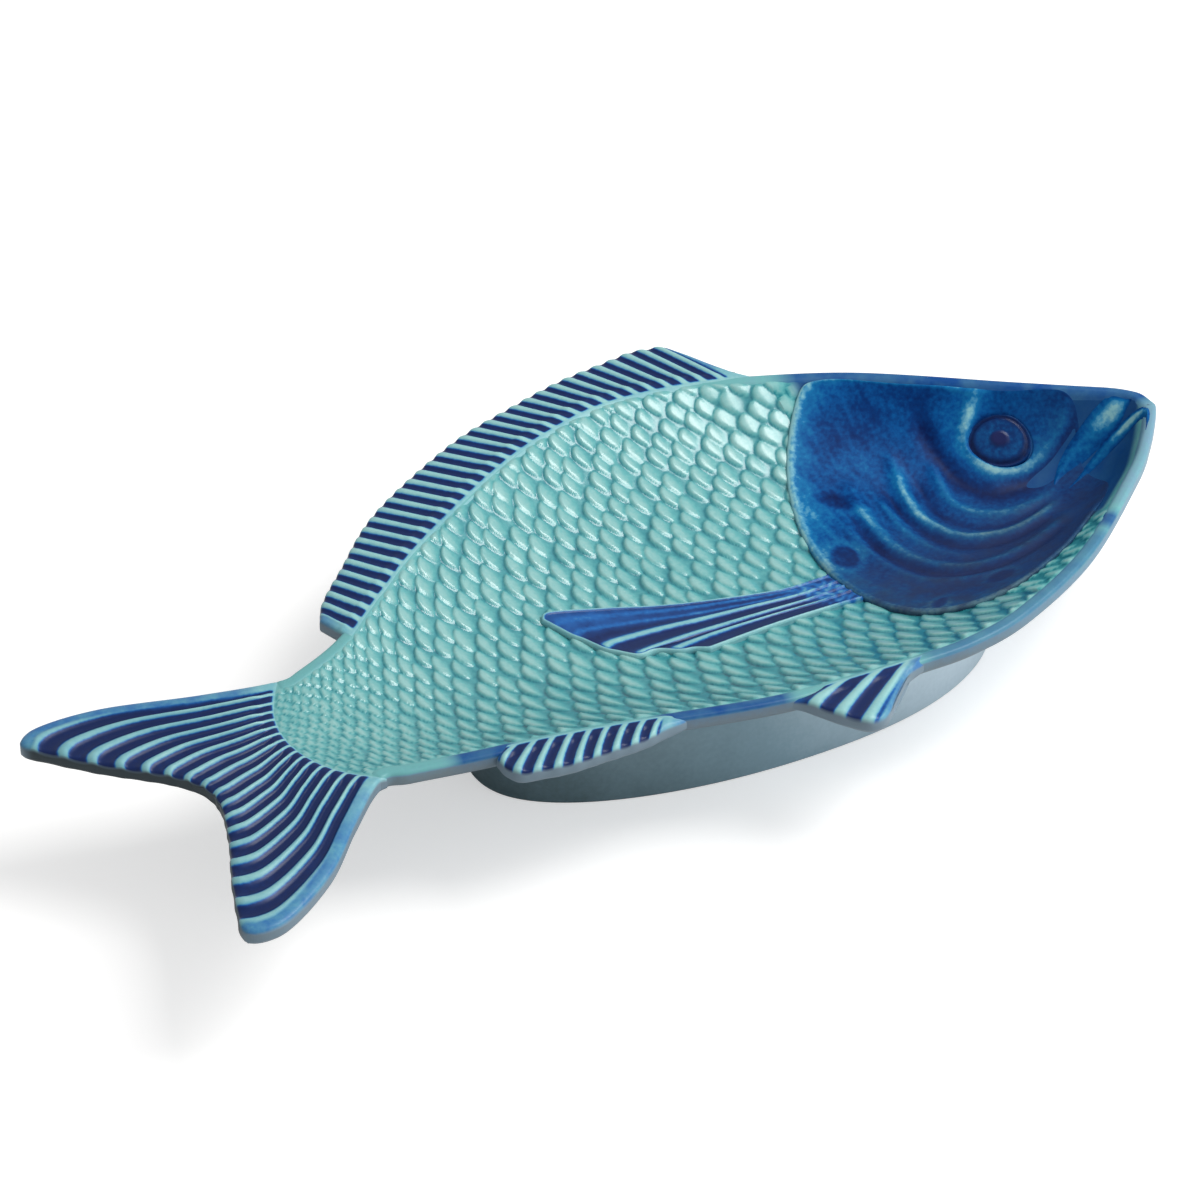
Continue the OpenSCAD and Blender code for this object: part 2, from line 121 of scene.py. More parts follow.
table.data.materials.append(table_paint)

# Bowl
# The body of the platter: one leaf-shaped bowl of pressed earthenware about 5 mm thick, with rows of scales in
# relief. Its turquoise glaze runs off the scales' edges, where it is thin and minty, and pools dark behind them.
# The dark line along each free edge is pooled glaze and painted shade together.
body_len, back_rise, belly_drop = 339.0, 112.0, 77.0
well_depth, wall, rim_w, edge_r, seam_bow = 30.0, 5.2, 4.5, 1.5, 15.0
tail_len, tail_rise, tail_drop = 86.0, 60.0, 70.0
rim_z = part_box("dorsal_fin")[0][2] * 1000 + wall
plan_shift = np.array([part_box("dish_body")[1][0] * 1000 - body_len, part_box("dish_body")[1][1] * 1000 - back_rise])
back_shares = np.array([[0, 0.33], [0.03, 0.34], [0.091, 0.41], [0.168, 0.56], [0.245, 0.705], [0.369, 0.885],
                        [0.448, 0.965], [0.531, 1], [0.619, 0.945], [0.664, 0.873], [0.779, 0.665],
                        [0.903, 0.335], [0.95, 0.21], [0.982, 0.125], [0.997, 0.065], [1, 0.03]])
belly_shares = np.array([[0, 0.344], [0.03, 0.375], [0.091, 0.455], [0.168, 0.545], [0.245, 0.655], [0.369, 0.85],
                         [0.448, 0.925], [0.531, 0.98], [0.59, 1], [0.664, 0.955], [0.779, 0.765],
                         [0.903, 0.42], [0.95, 0.255], [0.982, 0.12], [0.997, 0.045], [1, 0.01]])
depth_shares = np.array([[-0.05, 0], [0, 0.08], [0.077, 0.24], [0.224, 0.54], [0.372, 0.77], [0.519, 0.9],
                         [0.667, 1], [0.814, 1], [0.917, 0.82], [0.968, 0.45], [1, 0]])
tail_upper_shares = np.array([[0.279, 0.75], [0.628, 0.95], [0.884, 1], [1, 0.917]])
tail_lower_shares = np.array([[0.209, -0.571], [0.442, -0.814], [0.72, -0.985], [0.895, -0.957]])


def curve(points, before=None, steps=40):
    """A smooth line through points: each stretch is the cubic whose slopes are half the neighbours' difference."""
    p = np.vstack([points[:1] if before is None else before, points, points[-1:]])
    a, b, c, d = (p[i:len(p) - 3 + i, None] for i in range(4))
    t = np.linspace(0, 1, steps, endpoint=False)[None, :, None]
    line = b + ((c - a) * t + (2 * a - 5 * b + 4 * c - d) * t ** 2 + (3 * b - a - 3 * c + d) * t ** 3) / 2
    return np.vstack([line.reshape(-1, points.shape[1]), points[-1:]])


def tail_points(shares):
    """Shares of the tail's length, and of its rise or its drop, as plan points behind the seam."""
    return np.stack([-shares[:, 0] * tail_len, shares[:, 1] * np.where(shares[:, 1] > 0, tail_rise, tail_drop)], 1)


back_points = back_shares * [body_len, back_rise]
belly_points = belly_shares * [body_len, -belly_drop]
back_line = curve(back_points, tail_points(tail_upper_shares)[:1])
belly_line = curve(belly_points, tail_points(tail_lower_shares)[:1])
depth_line = curve(depth_shares * [body_len, well_depth])


def back_y(x):
    """The back's height over the axis at x."""
    return np.interp(x, *back_line.T)


def belly_y(x):
    """The belly's depth under the axis at x, as a negative height."""
    return np.interp(x, *belly_line.T)


def bowl(x, y, inset, soft=0.05):
    """Rim height less depth(x) times (1 - off^2), off being the share of the half width, eased to 0 at the rim."""
    top, low = back_y(x), belly_y(x)
    half = np.maximum((top - low) / 2 - inset, edge_r)
    dip = 1 - ((y - (top + low) / 2) / half) ** 2
    near = (np.maximum(x, 0) / body_len) ** 4
    return rim_z - np.interp(x + inset * near, *depth_line.T) * (dip + np.sqrt(dip ** 2 + soft ** 2)) / 2


def well(x, y):
    """Height of the bowl's upper face."""
    return bowl(x, y, rim_w)


def under(x, y):
    """Height of the bowl's lower face, one wall lower and fuller towards the outline."""
    return bowl(x, y, 0.0, 0.02) - wall


def ease(value, start, end):
    """0 before start and 1 after end, with 3 t^2 - 2 t^3 between them."""
    t = np.clip((value - start) / (end - start), 0, 1)
    return t * t * (3 - 2 * t)


def random_of(i, j, seed):
    """An even random share for each pair of whole numbers, from the fraction of a large sine."""
    return np.modf(np.abs(np.sin(i * 127.1 + j * 311.7 + seed * 74.7) * 43758.5453))[0]


def distance(line, x, y):
    """The least distance of each point from the straight stretches of a line, and its share along that line."""
    best, share = np.full(np.broadcast(x, y).shape, 1e9), np.zeros(np.broadcast(x, y).shape)
    for n, (a, b) in enumerate(zip(line[:-1], line[1:])):
        d = b - a
        t = np.clip(((x - a[0]) * d[0] + (y - a[1]) * d[1]) / max(d @ d, 1e-9), 0, 1)
        gap = np.hypot(x - a[0] - t * d[0], y - a[1] - t * d[1])
        share = np.where(gap < best, (n + t) / (len(line) - 1), share)
        best = np.minimum(best, gap)
    return best, share


# Along the fish: the place, the pitch of the columns of scales and the pitch of their rows.
scale_sizes = np.array([[-20, 3.4, 2.3], [-1.5, 4.4, 2.9], [11.5, 5.2, 4.0], [23.5, 6.2, 4.7], [34.5, 7.4, 5.6],
                        [46.5, 8.7, 6.3], [64.5, 10.0, 6.9], [96, 10.4, 7.4], [151, 10.3, 7.3], [176, 10.2, 6.8],
                        [226, 10.4, 6.2], [280, 9.0, 4.8], [339, 6.5, 3.5]])
pitch_x = np.linspace(-seam_bow - 5, body_len, 2000)
pitch_u = np.concatenate([[0], np.cumsum(np.diff(pitch_x) / np.interp(pitch_x[1:], *scale_sizes[:, :2].T))])
belly_swell, row_offset = 0.36, 40
stagger, column_jitter, row_jitter = 0.5, 0.2, 0.3
scale_half, scale_reach, scale_bow = 0.90, 0.76, 0.40


def scales(x, y):
    """Relief of the scales, 0 in a channel and 1 on a scale, and the dark line along their free edges, pooled glaze
    and painted shade.

    Columns and rows are counted with the sizes of the table at x, a row being wider towards the belly: row number
    v is -half / (row * swell) times the logarithm of 1 - swell * off. Scale (i, j) of the staggered rows is an oval
    across the fish. Its free edge towards the tail is crisp, and its height falls off towards the other side. The
    relief is the highest oval over each point.
    """
    u, row_size = np.interp(x, pitch_x, pitch_u), np.interp(x, scale_sizes[:, 0], scale_sizes[:, 2])
    top, low = back_y(x), belly_y(x)
    half = np.maximum((top - low) / 2, 1)
    off = np.clip((y - (top + low) / 2) / half, -1.5, 1.5)
    v = row_offset - half / (row_size * belly_swell) * np.log(1 - belly_swell * off)
    relief, pool_and_shade = np.zeros_like(u), np.zeros_like(u)
    for row in range(-1, 3):
        j = np.floor(v) + row - 1
        for col in range(-1, 3):
            i = np.floor(u) + col
            ui = i + stagger * np.mod(j, 2) + column_jitter * (random_of(i, j, 1) - 0.5)
            vj = j + 0.5 + row_jitter * (random_of(i, j, 2) - 0.5)
            side = np.clip((v - vj) / (scale_half + 0.06 * off + 0.14 * (random_of(i, j, 3) - 0.5)), -1, 1)
            arch = 1 - side ** 2
            behind = (u - ui) + scale_bow * arch ** 0.75
            reach = (scale_reach + 0.04 * off + 0.10 * (random_of(i, j, 4) - 0.5)) * arch ** 0.7 + 1e-6
            oval = ease(behind, 0, 0.10) * (1 - ease(behind / reach, 0.25, 1.0)) * arch ** 0.4
            relief = np.maximum(relief, oval * (0.9 + 0.2 * random_of(i, j, 5)))
            # A dark line just outside each free edge: pooled glaze and painted shade at the foot of the step.
            pool_and_shade = np.maximum(pool_and_shade, ease(behind, -0.14, 0) * (1 - ease(behind, 0.0, 0.04)) * arch ** 0.5)
    return relief, pool_and_shade


def shell(name, grid, tones, around=False, marks=None):
    """A closed mesh over grid[i, k], k running round each loop; the ends are capped, or joined when around is set.

    A cap is one face. Where each loop goes out and comes back over the same places, marks gives the outward number
    beside each homeward one, and the cap is a strip of faces between them.

    tones maps an attribute's name to its value at each point of the grid. The caps' edges are kept sharp.
    """
    count, ring = grid.shape[:2]
    i = np.arange(count if around else count - 1)[:, None]
    k = np.arange(ring)[None]
    i2, k2 = (i + 1) % count, (k + 1) % ring
    quads = np.stack(np.broadcast_arrays(i * ring + k, i2 * ring + k, i2 * ring + k2, i * ring + k2), -1)
    quads = quads.reshape(-1, 4)
    p = grid.reshape(-1, 3)
    a, b, c, d = (p[quads[:, n]] for n in range(4))
    inside_out = (np.cross(a, b) * c).sum() + (np.cross(a, c) * d).sum() < 0
    start, end = list(range(ring)), list(range((count - 1) * ring, count * ring))
    caps = [] if around else [start, end[::-1]]
    if marks is not None:
        spans = enumerate(zip(marks[:-1], marks[1:]))
        strip = [[*range(one, two + 1), ring - 2 - n, ring - 1 - n] for n, (one, two) in spans]
        caps = strip + [[end[0] + k for k in face[::-1]] for face in strip]
    if inside_out:
        quads, caps = quads[:, ::-1], [cap[::-1] for cap in caps]
    place = np.concatenate([p[:, :2] + plan_shift, p[:, 2:]], 1) / 1000
    mesh = bpy.data.meshes.new(name)
    mesh.from_pydata(place, [], quads.tolist() + caps)
    mesh.polygons.foreach_set("use_smooth", np.ones(len(mesh.polygons), bool))
    for tone, value in tones.items():
        mesh.attributes.new(tone, "FLOAT", "POINT").data.foreach_set(
            "value", np.broadcast_to(value, grid.shape[:2]).astype(np.float32).ravel())
    if not around:
        ends = np.empty(len(mesh.edges) * 2, int)
        mesh.edges.foreach_get("vertices", ends)
        ends = ends.reshape(-1, 2)
        mesh.attributes.new("sharp_edge", "BOOLEAN", "EDGE").data.foreach_set(
            "value", ((ends < ring).all(1) | (ends >= (count - 1) * ring).all(1)))
    mesh.update()
    piece = bpy.data.objects.new(name, mesh)
    bpy.context.scene.collection.objects.link(piece)
    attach(piece, "root")
    return piece


def lifted(x, y, z):
    """Points from arrays of places and heights of one shape."""
    return np.stack(np.broadcast_arrays(x, y, z), -1)


def glaze(name, stops, washes=(), roughness=0.3, coat=0.15, mottle=0.16, shine=0.5):
    """A glossy glaze whose colour runs through stops by the relief attribute, blurred by clouds and specks.

    Each wash is (attribute, colour, wear): a second colour laid where its attribute is high and worn by streaks.
    """
    paint = bpy.data.materials.new(name)
    paint.use_nodes = True
    nodes, links = paint.node_tree.nodes, paint.node_tree.links
    bsdf = nodes["Principled BSDF"]
    place = nodes.new("ShaderNodeTexCoord")

    def noise(scale, detail):
        cloud = nodes.new("ShaderNodeTexNoise")
        cloud.inputs["Scale"].default_value, cloud.inputs["Detail"].default_value = scale, detail
        links.new(place.outputs["Object"], cloud.inputs["Vector"])
        return cloud.outputs["Fac"]

    def spread(value, low, high, new_low, new_high):
        scope = nodes.new("ShaderNodeMapRange")
        for label, number in (("From Min", low), ("From Max", high), ("To Min", new_low), ("To Max", new_high)):
            scope.inputs[label].default_value = number
        links.new(value, scope.inputs["Value"])
        return scope.outputs["Result"]

    def joined(kind, one, other, clamp=True):
        maths = nodes.new("ShaderNodeMath")
        maths.operation, maths.use_clamp = kind, clamp
        links.new(one, maths.inputs[0])
        links.new(other, maths.inputs[1])
        return maths.outputs[0]

    def painted(name):
        level = nodes.new("ShaderNodeAttribute")
        level.attribute_name = name
        return level.outputs["Fac"]

    clouds, specks = (spread(noise(scale, 3), 0.3, 0.7, -mottle, mottle) for scale in (70, 600))
    blur = joined("ADD", clouds, specks, False)
    ramp = nodes.new("ShaderNodeValToRGB")
    band = ramp.color_ramp
    band.elements[0].position, band.elements[0].color = stops[0]
    band.elements[1].position, band.elements[1].color = stops[-1]
    for position, colour in stops[1:-1]:
        band.elements.new(position).color = colour
    links.new(joined("ADD", painted("relief"), blur), ramp.inputs["Fac"])
    colour = ramp.outputs["Color"]
    for attribute, tint, wear in washes:
        streaks = spread(noise(140, 5), 0.35, 0.65, 1 - wear, 1)
        blend = nodes.new("ShaderNodeMix")
        blend.data_type = "RGBA"
        links.new(joined("MULTIPLY", painted(attribute), streaks), blend.inputs["Factor"])
        links.new(colour, blend.inputs["A"])
        blend.inputs["B"].default_value = tint
        colour = blend.outputs["Result"]
    links.new(colour, bsdf.inputs["Base Color"])
    ripple = nodes.new("ShaderNodeBump")
    ripple.inputs["Distance"].default_value, ripple.inputs["Strength"].default_value = 0.0004, 0.2
    links.new(noise(130, 2), ripple.inputs["Height"])
    links.new(ripple.outputs["Normal"], bsdf.inputs["Normal"])
    bsdf.inputs["Roughness"].default_value, bsdf.inputs["Specular IOR Level"].default_value = roughness, shine
    bsdf.inputs["Coat Weight"].default_value, bsdf.inputs["Coat Roughness"].default_value = coat, 0.2
    return paint


scale_rise, full_row = 1.15, 7
bowl_stops = [(0.0, linear(14, 96, 112)), (0.25, linear(48, 136, 146)), (0.5, linear(90, 168, 170)),
              (0.8, linear(140, 190, 188))]
bowl_washes = [("blue", linear(18, 68, 124), 0.05), ("underside", linear(112, 140, 158), 0.0)]
turquoise = glaze("turquoise_glaze", bowl_stops, bowl_washes, 0.28, 0.5, 0.07)
front_turquoise = glaze("front_turquoise_glaze", bowl_stops, bowl_washes, 0.42, 0.0, 0.07, 0.1)
# The bowl is made in two lengths that meet at body_cut. Its sections stop side_gap inside the outline, under the rim.
body_cut, tail_overlap, nose_gap, side_gap = 236.0, 2.5, 2.5, 1.5
upper_columns, lower_columns = 246, 14


def bowl_part(name, stations, paint):
    """Cross sections of the bowl as one closed shell: the upper face with its scales, and the plain lower face.

    A section near the tail is bowed towards it by the square of its nearness, as the tail seam is. The upper face is
    the well plus scale_rise times the relief, in proportion to the scales' size, and both faces sink into the tail.
    """
    across = np.linspace(0, 1, upper_columns)
    base = (1 + np.cos(np.linspace(0, np.pi, lower_columns))) / 2
    bow = (seam_bow * np.maximum(1 - stations / (3 * seam_bow), 0) ** 2)[:, None]
    low = belly_y(stations)[:, None] + side_gap
    width = np.maximum(back_y(stations) - belly_y(stations) - 2 * side_gap, 0.5)[:, None]
    x, y = stations[:, None] - bow * 4 * across * (1 - across), low + width * across
    base_x, base_y = stations[:, None] - bow * 4 * base * (1 - base), low + width * base
    gap = np.minimum(y - belly_y(x), back_y(x) - y)
    brow = ease(x, 240, 246) * ease(y, 5, 15)
    nose = ease(x, 284, 291) * np.maximum(ease(y - belly_y(x), 7, 11), ease(y, 8, 14))
    scaled = ease(gap, 3.8, 6.6) * ease(stations[:, None], 0.4, 1.8) * (1 - ease(x, 281, 290)) * (1 - brow)
    relief, pool_and_shade = scales(x, y)
    channel = 0.14 * ease(y, -50, 40) + 0.1 * (1 - ease(x, 10, 60))
    # The dark line outside each free edge is pooled glaze and painted shade together.
    tone = 0.20 + 0.58 * relief + channel * (1 - relief) - 0.2 * pool_and_shade
    size = np.interp(x, scale_sizes[:, 0], scale_sizes[:, 2]) / full_row
    tucked = 0.6 * (1 - ease(stations, -tail_overlap, 0.5))[:, None]
    z = well(x, y) + scale_rise * size * relief * scaled - 0.15 - tucked
    grid = np.concatenate([lifted(x, y, z), lifted(base_x, base_y, under(base_x, base_y) + tucked)], 1)
    flat = np.ones(base_x.shape)
    piece = shell(name, grid, {
        "relief": np.concatenate([tone * scaled + 0.6 * (1 - scaled), 0.5 * flat], 1),
        "blue": np.concatenate([np.maximum(nose, brow), 0 * flat], 1),
        "underside": np.concatenate([0 * x, flat], 1)}, marks=np.rint(base[::-1] * (upper_columns - 1)).astype(int))
    piece.data.materials.append(paint)
    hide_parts("dish_body")


bowl_part("scaled_bowl", np.linspace(-tail_overlap, body_cut, 380), turquoise)
bowl_part("bowl_front", body_cut + (body_len - nose_gap - body_cut) * np.sin(np.linspace(0, np.pi / 2, 120)),
          front_turquoise)

# Rim
# The rolled edge of the bowl, about 5 mm thick and wiped smooth while the clay is soft. It carries the turquoise
# along the back, a brushed blue by the head and under the belly, and a thin lavender glaze on its outer side.
# The path leaves out the very tip of the nose, so that the edge rounds it, and both its ends run on under the tail.
outline = np.concatenate([back_line[::2], belly_line[::-1][1::2]])
outline = outline[(outline[:, 0] < body_len - 0.3) | (np.abs(outline[:, 1]) > 2.2)]
outline = np.concatenate([back_line[:1] - [3, 0] + [0, 0.8], outline, belly_line[:1] - [3, 0] - [0, 1.0]])
step = np.gradient(outline, axis=0)
for _ in range(12):
    step[1:-1] = (step[:-2] + 2 * step[1:-1] + step[2:]) / 4
along = step / np.linalg.norm(step, axis=1, keepdims=True)
outward = np.stack([-along[:, 1], along[:, 0]], 1)
mouth_y, notch_width, notch_depth = 0.6, 1.5, 2.0
notch = np.exp(-((outline[:, 1] - mouth_y) / notch_width) ** 2) * ease(outline[:, 0], 325, 335)
outline[:, 0] -= notch_depth * notch
# The section, as distances in from the outline and drops, runs over the top, round two quarter circles and back.
turn = np.linspace(0, np.pi / 2, 7)
top_in, under_in = [6.4, 5.4, 4.4, 3.4, 2.4], [3.0, 5.0, 8.0]
under_drop = [wall + 0.1, wall + 0.1, wall - 1.2]
lip_in = np.concatenate([top_in, edge_r - edge_r * np.sin(turn), edge_r - edge_r * np.cos(turn), under_in])
lip_drop = np.concatenate([0 * np.array(top_in), edge_r - edge_r * np.cos(turn), wall - edge_r + edge_r * np.sin(turn),
                           under_drop])
on_top = np.arange(len(lip_in)) < len(top_in) + len(turn)
lip_x = outline[:, :1] - outward[:, :1] * lip_in
lip_y = outline[:, 1:] - outward[:, 1:] * lip_in
inner = ease(lip_in, 4.2, 6.4)
tucked = 0.6 * (1 - ease(outline[:, :1], -0.5, 1.5))
lip_top = well(lip_x, lip_y) + 0.12 - 1.2 * inner - tucked
lip_z = np.where(on_top, lip_top, under(lip_x, lip_y) + wall + tucked) - lip_drop
path_x, upper = outline[:, :1], outline[:, 1:] > 0
outer_side = ease(lip_drop, edge_r * 0.4, edge_r * 1.2)[None]
blue_back = ease(path_x, 236, 252) * upper
blue_belly = (1 - upper) * np.maximum(ease(path_x, 86, 94) * (1 - ease(path_x, 126, 136)),
                                      ease(path_x, 20, 30) * (1 - ease(path_x, 40, 46)))
blue_thin = (1 - upper) * (0.5 * ease(path_x, 176, 186) * (1 - ease(path_x, 272, 280))
                           + ease(path_x, 277, 280) * (1 - ease(path_x, 282, 287)))
brushed = np.clip(1.3 * (blue_back + blue_belly + blue_thin), 0, 1) * (1 - 0.9 * outer_side)
side_tone = 1 - outer_side * (1 - 0.45 * ease(path_x, 190, 250))
jaw_tone = 1 - 0.4 * ease(path_x, 280, 300) * (1 - upper)
rim_piece = shell("rolled_rim", lifted(lip_x, lip_y, lip_z),
                  {"relief": np.minimum(side_tone, jaw_tone), "brushed": brushed})
rim_stops = [(0.0, linear(118, 134, 142)), (0.5, linear(114, 152, 174)), (1.0, linear(108, 172, 174))]
rim_piece.data.materials.append(glaze("rim_glaze", rim_stops, [("brushed", linear(6, 70, 138), 0.2)],
                                      0.32, 0.0, 0.08, 0.22))

# Foot ring
# An oval ring of clay luted under the bowl, near upright and about 6.5 mm thick. It has a thin grey-blue glaze,
# wiped off the face it stands on, and painted darker towards the tail and lighter towards the nose as painted shade
# and light.
foot_len, foot_w, foot_wall, foot_flare = 202.0, 106.0, 6.5, 1.5
foot_x, foot_y = 0.469 * body_len, 0.054 * back_rise
foot_egg, foot_square = 0.22, 0.92
angle = np.linspace(0, 2 * np.pi, 360, endpoint=False)[:, None]


def foot_outline(inset):
    """An egg: x is a power of the cosine, y a power of the sine that widens towards the nose."""
    c, s = np.cos(angle), np.sin(angle)
    u = np.sign(c) * np.abs(c) ** foot_square
    return (foot_x + (foot_len / 2 - inset) * u,
            foot_y + (foot_w / 2 - inset) * (1 + foot_egg * u) * np.sign(s) * np.abs(s) ** foot_square)


# The section runs down the outer side, round the standing face and up the inner side.
foot_r, foot_rows = 1.2, 14
bend = np.linspace(0, np.pi / 2, 6)
rise = np.linspace(1, 0, foot_rows) ** 1.5
foot_inset = np.concatenate([-foot_flare * rise, foot_r - foot_r * np.cos(bend[1:]),
                             foot_wall - foot_r + foot_r * np.sin(bend), foot_wall - foot_flare * rise[-2::-1]])
outer_x, outer_y = foot_outline(foot_inset)
joint = under(outer_x, outer_y) + 0.6
round_rows = 2 * len(bend) - 1
level = np.concatenate([rise, np.zeros(round_rows), rise[-2::-1]])
lift = np.concatenate([np.full(foot_rows, foot_r), foot_r - foot_r * np.sin(bend[1:]),
                       foot_r - foot_r * np.cos(bend), np.full(foot_rows - 1, foot_r)])
fillet = 2.2 * ease(level, 0.82, 1.0) * (np.arange(len(level)) < foot_rows + round_rows)
foot_z = level * (joint - foot_r) + lift
foot_x2, foot_y2 = foot_outline(foot_inset - fillet)
standing = ease(0.3 - foot_z, 0.1, 0.3)
# The glaze colour is painted shade towards the tail and painted light towards the nose, and a little lighter towards
# the ring's top.
foot_piece = shell("foot", lifted(foot_x2, foot_y2, foot_z),
                   {"relief": 0.05 + 0.15 * level + 0.95 * ease(outer_x, 50, 250), "wiped": standing}, around=True)
foot_stops = [(0.0, linear(76, 98, 104)), (0.5, linear(134, 164, 178)), (1.0, linear(198, 218, 230))]
foot_piece.data.materials.append(glaze("grey_blue_glaze", foot_stops, [("wiped", linear(206, 194, 176), 0.2)],
                                       mottle=0.03))
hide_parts("foot_ring")

# Back fin and belly fins
# Flat ribbed fins in the plane of the rim, pressed with the bowl. The ribs stand proud in pale turquoise, and
# cobalt is brushed along the grooves between them.


def ridge(turns, sharp=1.0):
    """1 on a rib and 0 in a groove: half of one plus the cosine, to a power that narrows the rib."""
    return ((1 + np.cos(2 * np.pi * turns)) / 2) ** sharp


def at_share(line, t):
    """The point at share t of a line's own points."""
    place = t * (len(line) - 1)
    return np.stack([np.interp(place, np.arange(len(line)), line[:, n]) for n in (0, 1)], -1)


def blended(near, far, lower, upper, a, b):
    """The surface between four border lines: both pairs mixed by their shares, less the mix of the corners."""
    corners = (near[0] * (1 - b) + far[0] * b) * (1 - a) + (near[-1] * (1 - b) + far[-1] * b) * a
    return (at_share(near, a[..., 0]) * (1 - b) + at_share(far, a[..., 0]) * b
            + at_share(lower, b[..., 0]) * (1 - a) + at_share(upper, b[..., 0]) * a - corners)


fin_stops = [(0.0, linear(12, 34, 84)), (0.25, linear(14, 48, 110)), (0.45, linear(28, 100, 172)),
             (0.64, linear(100, 166, 184)), (1.0, linear(146, 196, 196))]
# The last wash is painted shade: a dark grey on the rolled edge and side faces of the tail's fork.
fin_paint = glaze("fin_glaze", fin_stops, [("wash", linear(34, 96, 168), 0.7), ("edge", linear(118, 138, 152), 0.0),
                                              ("fork", linear(58, 70, 76), 0.0)], 0.33, 0.0, 0.06, 0.25)
fin_rise, fin_in, line_points = 1.1, 2.5, 300


def softened(one, other, reach):
    """Two lines that meet at a corner, joined by a quadratic curve from reach before it to reach after it."""
    corner = one[-1]
    one, other = (line[np.linalg.norm(line - corner, axis=1) > reach] for line in (one, other))
    t = np.linspace(0, 1, 21)[:, None]
    arc = (1 - t) ** 2 * one[-1] + 2 * t * (1 - t) * corner + t ** 2 * other[0]
    return np.vstack([one, arc[:11]]), np.vstack([arc[10:], other])


def evenly(line, crowd=0.0):
    """The same line in line_points points, even along its length, or crowded at its middle by crowd times a sine."""
    run = np.concatenate([[0], np.cumsum(np.linalg.norm(np.diff(line, axis=0), axis=1))])
    t = np.linspace(0, 1, line_points)
    t = (t + crowd * np.sin(2 * np.pi * t)) * run[-1]
    return np.stack([np.interp(t, run, line[:, n]) for n in (0, 1)], 1)


def ribbed_fin(name, near, far, lower, upper, ribs, phase, sharp, rise, scallop, borders, replaced,
               steps=44, ribbed=1.0, curl=0.0, bare=2.5):
    """A flat fin over the surface between a root line, an outer line and two side lines.

    Its upper face is the rim's height plus rise on each rib, and both faces round off towards the border by a
    quarter circle. The root is tucked under the rim's skin, and so are the ends that hardly stand out past it.
    borders are the widths left pale along the two sides, and the share of the fin past ribbed is left pale too. A
    rib bends by curl of its pitch towards the root, and no cobalt lies nearer to the root line than bare.
    """
    a, b = np.meshgrid(np.linspace(0, 1, max(int(ribs * 22), 220) + 1), np.linspace(0, 1, steps), indexing="ij")
    plan = blended(near, far, lower, upper, a[..., None], b[..., None])
    wave = ridge(ribs * a / ribbed + phase - curl * (1 - b) ** 2, sharp * (1 - 0.4 * b))
    run = plan[:, -1:] - plan[:, -3:-2]
    run = run / np.maximum(np.linalg.norm(run, axis=2, keepdims=True), 1e-6)
    plan = plan + run * (scallop * (wave - 0.6) * ease(b, 0.7, 1) * ease(np.minimum(a, 1 - a), 0.01, 0.04))[..., None]
    x, y = plan[..., 0], plan[..., 1]
    sides = [distance(line[::4], x, y)[0] for line in (lower, upper)]
    edge_mm = np.minimum(np.minimum(*sides), distance(plan[:, -1], x, y)[0])
    root_mm = distance(near[::4], x, y)[0]
    roll = edge_r * (1 - np.sqrt(1 - (1 - np.clip(edge_mm / edge_r, 0, 1)) ** 2))
    pale = np.maximum(*(1 - ease(side, width, width + 1.6) for side, width in zip(sides, borders)))
    if ribbed < 1:
        pale = np.maximum(pale, ease(a, ribbed - 0.25 / ribs, ribbed))
    tucked = 1 - np.clip(root_mm / fin_in, 0, 1)
    beyond = np.maximum(np.maximum(y - back_y(x), belly_y(x) - y), -x)
    grown = ease(root_mm, fin_in, fin_in + 6)
    shape = (wave * (1 - pale) + 0.75 * pale) * grown * (0.6 + 0.4 * ease(edge_mm, 0.4, 3))
    shape -= 0.45 * ease(beyond, 0, 3) * grown
    merged = 1 - ease(beyond.max(1, keepdims=True), 0.3, 4)
    top = well(x, y) + 0.22 - 0.5 * tucked + rise * shape * (1 - merged) - roll - 0.8 * merged
    low = rim_z - wall + roll[:, ::-1]
    painted = ease(root_mm, bare, bare + 1.2)
    inked = ease(wave, 0.1, 0.95)
    tone = ((inked * (1 - pale) + 0.75 * pale) * painted + 0.85 * (1 - painted)) * (1 - 0.14 * ease(-x, 10, 40))
    washed_from = (1, 4) if ribbed < 0.9 else (5, 14)
    wash = np.maximum(pale * ease(root_mm, *washed_from) * 0.8, merged * (y < 0))
    outer = ease(roll, 0.35 * edge_r, 0.8 * edge_r)
    # Painted shade on the fork's rolled edge and side faces, out towards the tail's tips.
    shaded_fork = (x[:, -1:] < -30) * ease(np.minimum(a[:, :1], 1 - a[:, :1]), 0, 0.03)
    blank = np.ones(low.shape)
    piece = shell(name, np.concatenate([lifted(x, y, top), lifted(x[:, ::-1], y[:, ::-1], low)], 1), {
        "relief": np.concatenate([tone, 0.8 * blank], 1), "wash": np.concatenate([wash, 0 * blank], 1),
        "edge": np.concatenate([outer, blank], 1),
        "fork": np.concatenate([outer, blank], 1) * shaded_fork}, marks=range(steps))
    piece.data.materials.append(fin_paint)
    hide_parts(replaced)


